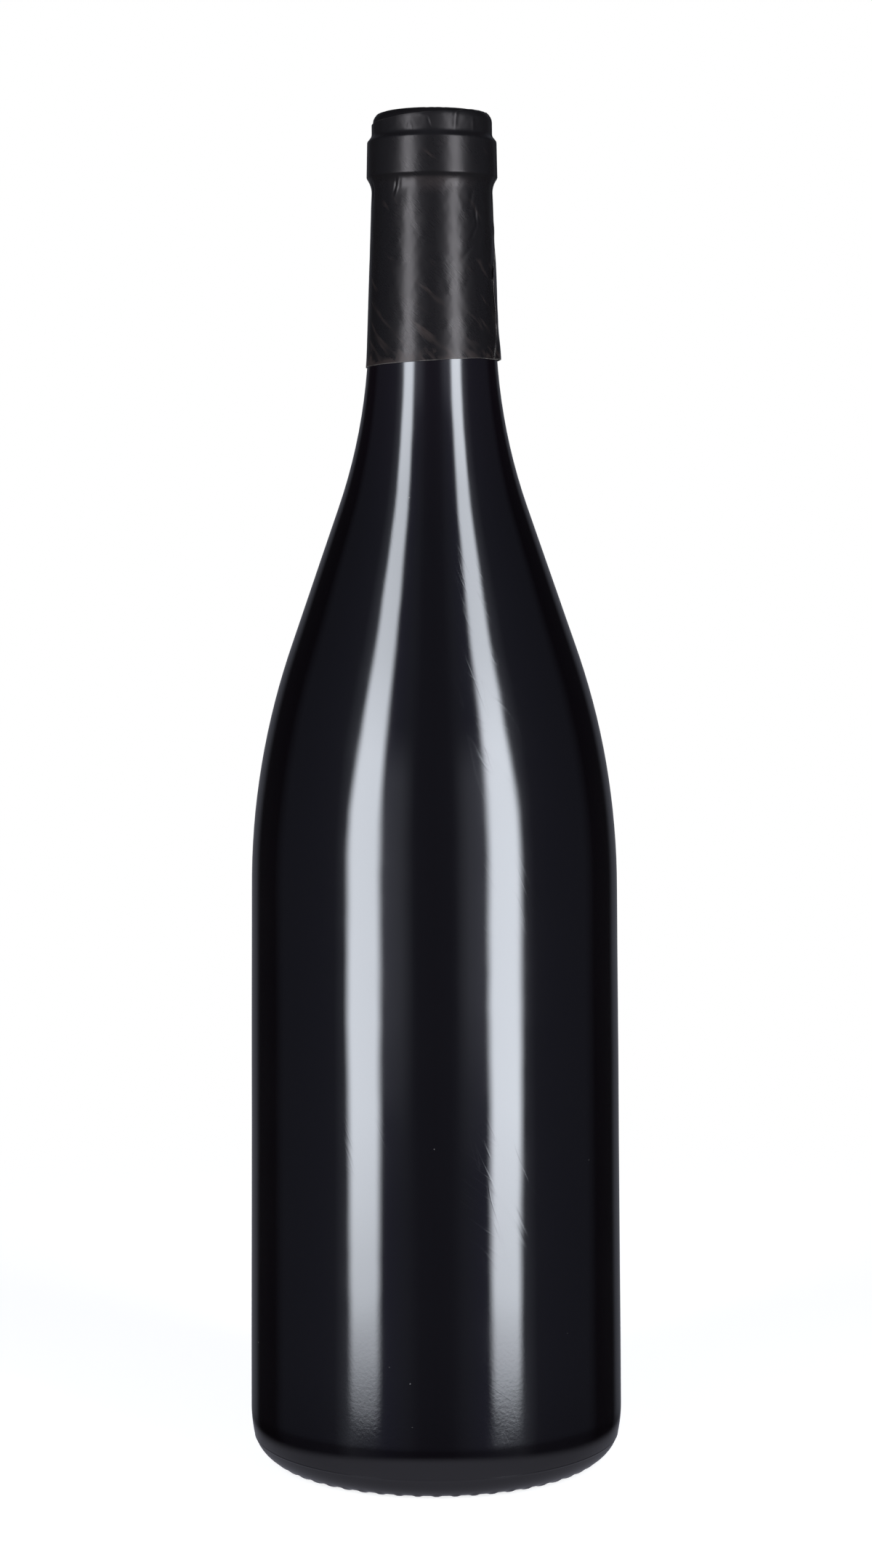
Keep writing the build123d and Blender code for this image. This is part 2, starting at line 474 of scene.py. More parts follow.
@dataclass(frozen=True)
class ContainerGlass:
    """Fire-polished dark container glass, blown in an iron mould and full of red wine.

    The wall is thick and the wine lets nothing through, so the eye sees a black body under
    a hard, wet-looking mirror coat of about four per cent, slightly wavy from the blowing,
    finely dimpled near the heel where the mould was cold, and marked by wiping and dust.
    """

    name: str = "fire_polished_black_container_glass"
    body: str = "030203"
    dust: str = "6a6865"
    tint: str = "050305"
    ior: float = 1.52
    roughness: float = 0.06
    wrap: str = "glass_wrap"
    wiped_spots: tuple[tuple[float, float], ...] = ((0.016, 0.064), (0.011, 0.165))

    def dimples(self, g: Graph, where: Source, height: Source) -> bpy.types.Node:
        """Bump of the cold mould's dimples, about 0.8 mm across, up to a height of some 40 mm."""
        noise = g.add("TexNoise", {"Vector": where, "Scale": 1500.0, "Detail": 2.0})
        below = {"Value": height, "From Min": 0.055, "From Max": 0.015}
        near_heel = g.add("MapRange", below, interpolation_type="SMOOTHSTEP")
        above_seam = g.add("MapRange", {"Value": height, "From Min": 0.007, "From Max": 0.011})
        band = g.add("Math", {0: near_heel, 1: above_seam}, operation="MULTIPLY")
        share = g.add("Math", {0: band, 1: 0.25, 2: 0.03}, operation="MULTIPLY_ADD")
        return g.add("Bump", {"Height": noise, "Distance": 0.000014, "Strength": share})

    def wiping(
        self, g: Graph, where: Source, wrap: Source, under: Source
    ) -> tuple[bpy.types.Node, bpy.types.Node]:
        """Smears and hair scratches, in patches that were wiped.

        A smear is a thin dried line where a streaky noise crosses its middle value. A hair
        scratch is 0.1 mm wide and some 10 mm long, and is drawn wider so that it shows.

        Args:
            g: takes the nodes.
            where: object coordinates.
            wrap: the glass's own map.
            under: the bump that the marks lie on.

        Returns:
            How smeared each place is, and the bump of all marks.
        """
        patches = g.add("TexNoise", {"Vector": where, "Scale": 26.0, "Detail": 1.0})
        patchy = {"Value": patches, "From Min": 0.56, "From Max": 0.70}
        patch = g.add("MapRange", {**patchy, "To Max": 0.7})
        for spot in self.wiped_spots:
            away = g.add("VectorMath", {0: wrap, 1: (*spot, 0.0)}, operation="DISTANCE")
            near = g.add("MapRange", {"Value": away, "From Min": 0.019, "From Max": 0.010})
            patch = g.add("Math", {0: patch, 1: near}, operation="MAXIMUM")

        dried = streaky_noise(g, wrap, lean=68, size=(0.045, 0.007), detail=3.0, bend=0.7)
        off_middle = g.add("Math", {0: dried, 1: 0.5}, operation="SUBTRACT")
        beside = g.add("Math", {0: off_middle}, operation="ABSOLUTE")
        thread = g.add("MapRange", {"Value": beside, "From Min": 0.012, "From Max": 0.0})
        smear = g.add("Math", {0: thread, 1: patch}, operation="MULTIPLY")
        wiped = g.add("Bump", {"Height": smear, "Distance": 0.0000022, "Normal": under})

        hairs = streaky_noise(g, wrap, lean=38, size=(0.016, 0.00035), detail=1.0)
        hair = g.add("MapRange", {"Value": hairs, "From Min": 0.62, "From Max": 0.76})
        scratch = g.add("Math", {0: hair, 1: patch}, operation="MULTIPLY")
        return smear, g.add("Bump", {"Height": scratch, "Distance": 0.000002, "Normal": wiped})

    def dust_specks(self, g: Graph, where: Source) -> bpy.types.Node:
        """Specks 0.3 mm across, one in a few of the cells of a 5 mm pattern."""
        cells = g.add("TexVoronoi", {"Vector": where, "Scale": 210.0, "Randomness": 1.0})
        chance = g.add("SeparateColor", {"Color": cells.outputs["Color"]})
        chosen = g.add("Math", {0: chance, 1: 0.82}, operation="GREATER_THAN")
        from_middle = {"Value": cells, "From Min": 0.036, "From Max": 0.016}
        speck = g.add("MapRange", {**from_middle, "To Max": 0.5})
        return g.add("Math", {0: speck, 1: chosen}, operation="MULTIPLY")

    def material(self) -> bpy.types.Material:
        """Build the material."""
        made = bpy.data.materials.new(self.name)
        g = Graph(made)
        where = g.add("TexCoord").outputs["Object"]
        wrap = g.add("UVMap", uv_map=self.wrap)
        height = g.add("SeparateXYZ", {"Vector": where}).outputs["Z"]
        smear, marked = self.wiping(g, where, wrap, self.dimples(g, where, height))
        dusty = self.dust_specks(g, where)

        # Dried film dulls the mirror a little in broad clouds, and handling does on the neck
        clouds = g.add("TexNoise", {"Vector": where, "Scale": 45.0, "Detail": 4.0})
        cloudy = {"Value": clouds, "From Min": 0.35, "From Max": 0.75}
        levels = {"To Min": self.roughness, "To Max": self.roughness + 0.05}
        dull = g.add("MapRange", {**cloudy, **levels})
        smeared = g.add("Math", {0: smear, 1: 0.04, 2: dull}, operation="MULTIPLY_ADD")
        in_neck = g.add("MapRange", {"Value": height, "From Min": 0.205, "From Max": 0.236})
        handled = g.add("Math", {0: in_neck, 1: 0.05, 2: smeared}, operation="MULTIPLY_ADD")
        rough = g.add("Math", {0: dusty, 1: 0.6, 2: handled}, operation="MULTIPLY_ADD")

        # The empty neck glass shows its own colour a little, the full body doesn't
        body, tint, dust = (linear_colour(code) for code in (self.body, self.tint, self.dust))
        shade = g.add("Mix", {"Factor": in_neck, "A": body, "B": tint}, data_type="RGBA")
        coat = g.add("Mix", {"Factor": dusty, "A": shade, "B": dust}, data_type="RGBA")
        skin = {"Base Color": coat, "Roughness": rough, "IOR": self.ior, "Normal": marked}
        g.add("OutputMaterial", {"Surface": g.add("BsdfPrincipled", skin)})
        return made


@dataclass(frozen=True)
class ShrinkFilm:
    """Black PVC shrink film with a printed satin lacquer, shrunk on with hot air.

    The lacquer spreads a lamp into a broad soft band. Handling has left fine slanting
    brush marks that glint inside that band, and brownish scuffs where the lacquer is worn.
    """

    name: str = "satin_black_pvc_shrink_film"
    lacquer: str = "0b0a0b"
    scuff: str = "26201e"
    # Painted light: paler colour under the band, where the slope faces down
    painted_light_under_band: str = "1a1717"
    # Painted highlight along the film's cut edges
    painted_edge_highlight: str = "5c5956"
    ior: float = 1.53
    roughness: float = 0.29
    gloss: float = 0.17
    sheen: str = "fff6f3"
    wrap: str = "film_wrap"
    scuff_top: float = 0.275
    matt_top: float = 0.0

    def brush_marks(self, g: Graph, wrap: Source, spread: Source) -> bpy.types.Node:
        """Hair lines 0.3 mm apart and some 2 mm long, in patches."""
        hairs = streaky_noise(g, wrap, lean=43, size=(0.0016, 0.00028), detail=2.0)
        hair = g.add("MapRange", {"Value": hairs, "From Min": 0.34, "From Max": 0.70})
        handled = g.add("MapRange", {"Value": spread, "From Min": 0.40, "From Max": 0.62})
        return g.add("Math", {0: hair, 1: handled}, operation="MULTIPLY")

    def scuffs(self, g: Graph, where: Source, wrap: Source, height: Source) -> bpy.types.Node:
        """Worn lacquer: thin streaks 9 mm long low down, and patches along the lower edge."""
        blots = streaky_noise(g, wrap, lean=42, size=(0.0095, 0.0017), detail=2.0, bend=0.3)
        fewer = {"From Min": 0.240, "From Max": self.scuff_top, "To Min": 0.035, "To Max": -0.12}
        low_down = g.add("MapRange", {"Value": height, **fewer})
        weighed = g.add("Math", {0: blots, 1: low_down}, operation="ADD")
        blotted = {"Value": weighed, "From Min": 0.56, "From Max": 0.76}
        streaked = g.add("MapRange", {**blotted, "To Max": 0.7})

        patches = g.add("TexNoise", {"Vector": where, "Scale": 330.0, "Detail": 3.0})
        edge = {"From Min": 0.2405, "From Max": 0.247, "To Min": 0.08, "To Max": -0.25}
        at_edge = g.add("MapRange", {"Value": height, **edge})
        wear = g.add("Math", {0: patches, 1: at_edge}, operation="ADD")
        worn = g.add("MapRange", {"Value": wear, "From Min": 0.50, "From Max": 0.62, "To Max": 0.6})
        return g.add("Math", {0: streaked, 1: worn}, operation="MAXIMUM")

    def under_step(self, g: Graph, place: bpy.types.Node) -> bpy.types.Node:
        """Where a paler colour is painted under the band, on the front and the back: painted light on
        the slope that faces down.
        """
        sideways = g.add("Math", {0: place.outputs["X"]}, operation="ABSOLUTE")
        frontal = g.add("MapRange", {"Value": sideways, "From Min": 0.010, "From Max": 0.004})
        rise = {"Value": place.outputs["Z"], "From Min": 0.2775, "From Max": 0.2815}
        below = g.add("MapRange", rise, interpolation_type="SMOOTHSTEP")
        end = {"Value": place.outputs["Z"], "From Min": 0.2822, "From Max": 0.2817}
        just_under = g.add("Math", {0: below, 1: g.add("MapRange", end)}, operation="MULTIPLY")
        return g.add("Math", {0: just_under, 1: frontal}, operation="MULTIPLY")

    def dullness(
        self, g: Graph, where: Source, height: Source, mark: Source, scuffed: Source
    ) -> bpy.types.Node:
        """Roughness: less on brush marks, and more on scuffs, near the top and on a matt flat."""
        marked = g.add("Math", {0: mark, 1: -0.07, 2: self.roughness}, operation="MULTIPLY_ADD")
        rubbed = g.add("Math", {0: scuffed, 1: 0.08, 2: marked}, operation="MULTIPLY_ADD")
        # The lip is shrunk furthest
        to_band = {"Value": height, "From Min": 0.255, "From Max": 0.285}
        upper = g.add("MapRange", {**to_band, "To Max": 0.03})
        to_lip = {"Value": height, "From Min": 0.2905, "From Max": 0.2925}
        on_lip = g.add("MapRange", {**to_lip, "To Max": 0.04})
        higher = g.add("Math", {0: upper, 1: on_lip}, operation="ADD")
        shrunk = g.add("Math", {0: rubbed, 1: higher}, operation="ADD")
        # The disc's flat is pressed with a fine grain
        across = g.add("VectorMath", {0: where, 1: (1.0, 1.0, 0.0)}, operation="MULTIPLY")
        from_axis = g.add("VectorMath", {0: across}, operation="LENGTH")
        rim = {"From Min": 0.0124, "From Max": 0.0118, "To Max": self.matt_top}
        flat = g.add("MapRange", {"Value": from_axis, **rim})
        return g.add("Math", {0: flat, 1: 0.3, 2: shrunk}, operation="MULTIPLY_ADD")

    def material(self) -> bpy.types.Material:
        """Build the material."""
        made = bpy.data.materials.new(self.name)
        g = Graph(made)
        where = g.add("TexCoord").outputs["Object"]
        wrap = g.add("UVMap", uv_map=self.wrap)
        place = g.add("SeparateXYZ", {"Vector": where})
        height = place.outputs["Z"]
        spread = g.add("TexNoise", {"Vector": where, "Scale": 190.0, "Detail": 2.0})
        mark = self.brush_marks(g, wrap, spread)
        scuffed = self.scuffs(g, where, wrap, height)

        # Painted light: a paler colour under the band where the slope faces down, and a painted
        # highlight along the film's cut edges. Both are broken up.
        patchy = {"Value": spread, "From Min": 0.38, "From Max": 0.62}
        broken = g.add("MapRange", {**patchy, "To Min": 0.1})
        painted_light_under_band = g.add("Math", {0: self.under_step(g, place), 1: broken}, operation="MULTIPLY")
        rim = g.add("Attribute", attribute_name=CUT_EDGE).outputs["Fac"]
        edge_highlight = g.add("Math", {0: rim, 1: broken}, operation="MULTIPLY")
        colour = linear_colour(self.lacquer)
        for share, code in ((scuffed, self.scuff), (painted_light_under_band, self.painted_light_under_band), (edge_highlight, self.painted_edge_highlight)):
            layers = {"Factor": share, "A": colour, "B": linear_colour(code)}
            colour = g.add("Mix", layers, data_type="RGBA")

        # Orange peel of the shrunk film, about 0.8 mm across
        peel_noise = g.add("TexNoise", {"Vector": where, "Scale": 1300.0, "Detail": 2.0})
        peel = g.add("Bump", {"Height": peel_noise, "Distance": 0.000008})
        marked = g.add("Bump", {"Height": mark, "Distance": 0.000008, "Normal": peel})
        skin = {
            "Base Color": colour,
            "Roughness": self.dullness(g, where, height, mark, scuffed),
            "IOR": self.ior,
            "Specular IOR Level": self.gloss,
            "Specular Tint": linear_colour(self.sheen),
            "Normal": marked,
        }
        g.add("OutputMaterial", {"Surface": g.add("BsdfPrincipled", skin)})
        return made


# ---------------------------------------------------------------- the bottle


@dataclass(frozen=True)
class Finish:
    """Sizes of the bottle's mouth: the band and the lip that the capsule covers."""

    top: float
    neck_foot: float = 246.2
    neck_radius: float = 14.25
    neck_draft: float = 1.95
    neck_length: float = 35.0
    band_stand: float = 1.16
    band_height: float = 7.4
    band_draft: float = 1.3
    step: float = 1.8
    lip_inset: float = 1.3
    lip_height: float = 4.9
    band_corner: float = 1.0
    hollow: float = 1.0
    lip_corner: float = 1.9

    @property
    def neck_top(self) -> float:
        """Height where the straight neck meets the slope under the band."""
        return self.neck_foot + self.neck_length

    @property
    def neck_top_radius(self) -> float:
        """Radius of the straight neck at its top."""
        return self.neck_radius - self.neck_length * tan(radians(self.neck_draft))

    @property
    def band_top_radius(self) -> float:
        """Radius of the band's upper corner."""
        band_lean = tan(radians(self.band_draft))
        return self.neck_top_radius + self.band_stand - self.band_height * band_lean

    @property
    def lip_radius(self) -> float:
        """Radius of the lip."""
        return self.band_top_radius - self.lip_inset

    def corners(
        self, neck_off: float = 0.0, lip_off: float = 0.0
    ) -> list[tuple[float, float, float]]:
        """Corners from the straight neck to the rim, moved outwards.

        Args:
            neck_off: distance outwards up to the band's top.
            lip_off: distance outwards from there on.

        Returns:
            Radius, height and fillet radius of each corner.
        """
        band = self.neck_top_radius + self.band_stand
        base = self.neck_top + self.step
        return [
            (self.neck_radius + neck_off, self.neck_foot, 0),
            (self.neck_top_radius + neck_off, self.neck_top, self.hollow),
            (band + neck_off, base, self.band_corner),
            (self.band_top_radius + neck_off, base + self.band_height, self.band_corner),
            (self.lip_radius + lip_off, self.top - self.lip_height, self.hollow),
            (self.lip_radius + lip_off, self.top + lip_off, self.lip_corner + lip_off),
        ]


@dataclass
class GlassBottle:
    """The glass: one surface of revolution from the hollow under the base up to the mouth.

    It has fine blowing waves, a mould seam round the heel and knurls on its bearing ring.
    """

    body_radius: float
    finish: Finish
    draft: float = 0.235
    heel_height: float = 11.652
    shoulder_arc: float = 162.5
    slope: float = 19.0
    neck_arc: float = 124.0
    heel_wall_arc: float = 28.8
    heel_wall_turn: float = 11.6
    heel_foot_arc: float = 6.94
    heel_slope: float = 9.8
    heel_slope_run: float = 2.6
    bearing_width: float = 4.0
    hollow_depth: float = 24.0
    hollow_top_radius: float = 9.0
    hollow_top_fillet: float = 12.0
    hollow_mouth_fillet: float = 5.0
    knurls: int = 56
    knurl_depth: float = 0.35
    knurl_crest: float = 1.2
    seam_height: float = 5.09
    seam_stand: float = 0.07
    seam_width: float = 0.15
    bar_stand: float = 0.2
    ring_inside: float = 27.0
    ring_outside: tuple[float, float] = (32.5, 34.0)
    bar_end: tuple[float, float] = (0.7, 1.6)
    wave_height: float = 0.02
    waves_start: tuple[float, float] = (9, 24)
    waves_stop: tuple[float, float] = (250, 262)
    columns_per_knurl: int = 10
    pole_radius: float = 0.4
    wrap_radius: float = 40.0
    glass: ContainerGlass = ContainerGlass()

    def upper(self) -> Outline:
        """Outline from the wall's foot up to the straight neck.

        The wall leans in by the draft, an arc takes the lean to the shoulder's slope, a cone
        keeps it and a hollow arc brings it back to the neck's draft. The wall and the cone
        take the height and the radius that the arcs leave.
        """
        f = self.finish
        wall_lean, cone_lean = tan(radians(self.draft)), tan(radians(self.slope))
        convex = arc((0, 0), -self.draft, -self.slope, self.shoulder_arc).end
        hollow = arc((0, 0), -self.slope, -f.neck_draft, -self.neck_arc).end
        rise = f.neck_foot - self.heel_height - convex[1] - hollow[1]
        spread = self.body_radius - f.neck_radius + convex[0] + hollow[0]
        cone_rise = (spread - rise * wall_lean) / (cone_lean - wall_lean)
        wall_rise = rise - cone_rise
        foot = (self.body_radius, self.heel_height)
        drawn = line(foot, (self.body_radius - wall_rise * wall_lean, self.heel_height + wall_rise))
        drawn = drawn + arc(drawn.end, -self.draft, -self.slope, self.shoulder_arc)
        drawn = drawn + line(drawn.end, drawn.end + (-cone_rise * cone_lean, cone_rise))
        return drawn + arc(drawn.end, -self.slope, -f.neck_draft, -self.neck_arc)

    def lower(self) -> Outline:
        """Outline from the top of the hollow under the base out to the wall's foot."""
        lean_low = self.heel_wall_turn - self.draft
        lean_foot = 90 - self.heel_slope - 2 * self.draft
        drawn = arc((self.body_radius, self.heel_height), -self.draft, lean_low, self.heel_wall_arc)
        drawn = drawn + arc(drawn.end, lean_low, lean_foot, self.heel_foot_arc)
        bearing = drawn.end[0] - self.heel_slope_run
        drawn = drawn + line(drawn.end, (bearing, 0))
        ring = rounded_line([
            (bearing, 0, 0),
            (bearing - self.bearing_width, 0, self.hollow_mouth_fillet),
            (self.hollow_top_radius, self.hollow_depth, self.hollow_top_fillet),
            (self.pole_radius, self.hollow_depth, 0),
        ])
        return (drawn + ring).turned_back()

    def outline(self) -> Outline:
        """The whole outline, from the hollow's top to the middle of the mouth."""
        mouth = rounded_line(self.finish.corners() + [(self.pole_radius, self.finish.top, 0)])
        return self.lower() + self.upper() + mouth

    def row_spacing(self, drawn: Outline) -> np.ndarray:
        """Wanted row spacing: 3.5 mm on the body, closer on the heel, seam, knurls and band."""
        radius, height = drawn.points.T
        heel, seam = height < 14, abs(height - self.seam_height) < 0.42
        knurled = (height < 1.8) & (radius > 26)
        hollow = (radius < 29) & (height < self.hollow_depth + 0.1)
        band = (height > 279) & (radius > 11)
        # Where two regions overlap, the first counts
        regions = ((band, 0.9), (hollow, 2.4), (knurled, 0.4), (seam, 0.06), (heel, 0.75))
        return np.select(*zip(*regions), default=3.5)

    def knurl_lift(self, azimuth: np.ndarray) -> np.ndarray:
        """Height of the ring's base between knurls: the depth less a rounded crest's share.

        A crest is e to the power of minus the fourth power of the distance from its middle
        over 0.62 of its width. The ring's radius is 0.79 of the body's, and a crest is on +X.
        """
        pitch = 360.0 / self.knurls
        across = wrapped((azimuth - 90.0) * 360 / pitch) / 360 * pitch
        distance = np.radians(across) * self.body_radius * 0.79
        return self.knurl_depth * (1 - np.exp(-((distance / (0.62 * self.knurl_crest)) ** 4)))

    def waves(self, azimuth: np.ndarray, radius: np.ndarray, height: np.ndarray) -> np.ndarray:
        """Blowing waves of the wall, in millimetres outwards: broad ones under finer ones."""
        level = height + 0 * azimuth
        broad = 0.6 * ripple(azimuth, level, 11, 14, (2, 9), (26, 90))
        both = broad + 0.15 * ripple(azimuth, level, 12, 14, (6, 22), (9, 30))
        fade_in = smooth_ramp(height, *self.waves_start)
        fade_out = smooth_ramp(height, *self.waves_stop)
        window = fade_in * (1 - fade_out) * (radius > 12.0)
        narrow = 0.45 + 0.55 * radius / self.body_radius
        stand = self.wave_height * both * window * narrow
        # The wall may not swell past its widest size, at its foot
        return np.minimum(stand, np.maximum(self.body_radius - 0.005 - radius, 0.0))

    def build(self) -> bpy.types.Object:
        """Build and dress the glass.

        Returns:
            The closed piece, with a pole on the hollow's top and one on the mouth.
        """
        drawn = self.outline()
        length = drawn.rows(self.row_spacing(drawn))
        radius, height = (part[:, None] for part in drawn.at(length))
        out_r, out_z = (part[:, None] for part in drawn.outward(length))
        columns = self.knurls * self.columns_per_knurl
        azimuth = np.arange(columns)[None] * 360.0 / columns - 180.0

        full = np.broadcast_to(azimuth, (len(length), columns))
        stand = self.waves(full, radius, height)

        # The mould seam is a low bead round the heel, 0.3 mm wide
        on_heel = radius > 30
        stand = stand + self.seam_stand * bell(height - self.seam_height, self.seam_width) * on_heel

        # Each knurl runs out over the heel's foot as a low bar, which shows in the outline
        bar = 1 - self.knurl_lift(full) / self.knurl_depth
        low_down = (1 - smooth_ramp(height, *self.bar_end)) * (height < 2)
        stand = stand + self.bar_stand * bar * (smooth_ramp(radius, *self.ring_outside) * low_down)

        # Between the knurls, the ring's base is lifted off the floor
        ring = (radius > self.ring_inside) & (height < 1.2)
        place_z = height + out_z * stand
        place_z = np.where(ring, np.maximum(place_z, self.knurl_lift(full) * ring), place_z)
        place = around(full, radius + out_r * stand, place_z)

        draft = MeshDraft()
        wrap = np.stack([np.radians(full) * self.wrap_radius, height + 0 * full], -1)
        grid = draft.add_points(place, wrap)
        draft.add_grid(grid, closed=True)
        draft.add_pole(grid[0], np.array([0.0, 0.0, self.hollow_depth]), upward=False)
        draft.add_pole(grid[-1], np.array([0.0, 0.0, self.finish.top]), upward=True)
        return draft.build("bottle_glass", self.glass.wrap, self.glass.material())


# ---------------------------------------------------------------- the capsule


@dataclass(frozen=True)
class Crease:
    """A sharp fold or dent in the film, along a slanting line.

    Across the line it is a bell, or a ridge beside a groove where it is folded. Along the
    line it fades out at both ends.
    """

    azimuth: float
    height: float
    length: float
    width: float
    stand: float
    slant: float = 0.0
    fold: bool = False

    def relief(self, azimuth: np.ndarray, height: np.ndarray, radius: float = 13.6) -> np.ndarray:
        """Height of the film over its smooth shape.

        Args:
            azimuth: degrees round the bottle.
            height: millimetres up the bottle.
            radius: of the film there.

        Returns:
            Millimetres outwards.
        """
        side = np.radians(wrapped(azimuth - self.azimuth)) * radius
        up = height - self.height
        turn = radians(self.slant)
        across, along = side * cos(turn) - up * sin(turn), side * sin(turn) + up * cos(turn)
        shape = bell(across, self.width)
        if self.fold:
            shape = shape * np.sin(np.clip(across / self.width, -2, 2) * 1.6) * 1.4
        return self.stand * shape * bell(along, self.length / 2)


CREASES = (
    # Lip: short upright creases, a flattened place between two of them and a crumple at the edge
    Crease(-21.8, 293.5, 2.0, 0.26, 0.05, slant=12),
    Crease(-19.6, 293.3, 1.6, 0.22, 0.04, slant=-14),
    Crease(-1.6, 293.8, 2.2, 0.30, 0.09, slant=-20, fold=True),
    Crease(-7.5, 295.3, 2.6, 0.35, 0.05, slant=-80),
    Crease(22.6, 293.8, 3.6, 0.50, 0.10, slant=5),
    Crease(23.5, 295.9, 1.3, 0.80, 0.14, slant=-60),
    Crease(32.0, 293.8, 3.4, 2.0, -0.09),
    Crease(43.0, 293.6, 3.0, 0.45, 0.10, slant=-4),
    Crease(-12.0, 294.4, 3.0, 2.0, -0.05),
    Crease(-48.0, 293.8, 3.0, 1.4, -0.05, slant=10),
    Crease(118.0, 294.2, 3.2, 0.4, 0.08, slant=12, fold=True),
    Crease(-117.0, 293.9, 3.2, 0.4, 0.08, slant=-6, fold=True),
    Crease(171.0, 294.3, 3.0, 0.45, 0.08, slant=9, fold=True),
    # Under the band: pinched folds where the film gathers into the narrower neck
    Crease(-34.8, 280.4, 3.4, 0.46, 0.16, slant=18, fold=True),
    Crease(-29.0, 280.9, 2.0, 0.8, 0.12, slant=30),
    Crease(-53.0, 281.4, 2.2, 0.40, 0.16, slant=8, fold=True),
    Crease(-74.0, 279.8, 4.6, 0.5, -0.16, slant=6),
    Crease(14.0, 279.6, 4.0, 1.5, -0.05, slant=24),
    Crease(103.0, 280.2, 4.0, 0.45, 0.16, slant=16, fold=True),
    Crease(-141.0, 280.6, 3.4, 0.4, 0.16, slant=-14, fold=True),
    Crease(156.0, 280.3, 3.6, 0.45, 0.14, slant=20, fold=True),
    # Right of the front: a dent with a bright far wall, which runs on down to the left
    Crease(45.0, 273.8, 3.6, 0.34, -0.16, slant=-6),
    Crease(47.4, 273.9, 3.8, 0.36, 0.05, slant=-6),
    Crease(42.0, 270.0, 3.2, 0.42, -0.12, slant=34),
    Crease(35.0, 265.8, 4.6, 0.60, -0.06, slant=40),
    Crease(40.0, 277.6, 3.6, 0.55, -0.12, slant=14),
    Crease(57.0, 270.0, 8.0, 1.2, 0.12, slant=20),
    Crease(63.0, 262.0, 12.0, 1.2, 0.10, slant=16),
    Crease(82.0, 271.5, 4.0, 1.1, 0.16),
    # The back, finished like the front
    Crease(-168.0, 262.0, 9.0, 1.1, -0.06, slant=-20),
    Crease(138.0, 268.0, 7.0, 0.6, -0.16, slant=14),
    Crease(-101.0, 255.0, 8.0, 1.0, 0.05, slant=-12),
)


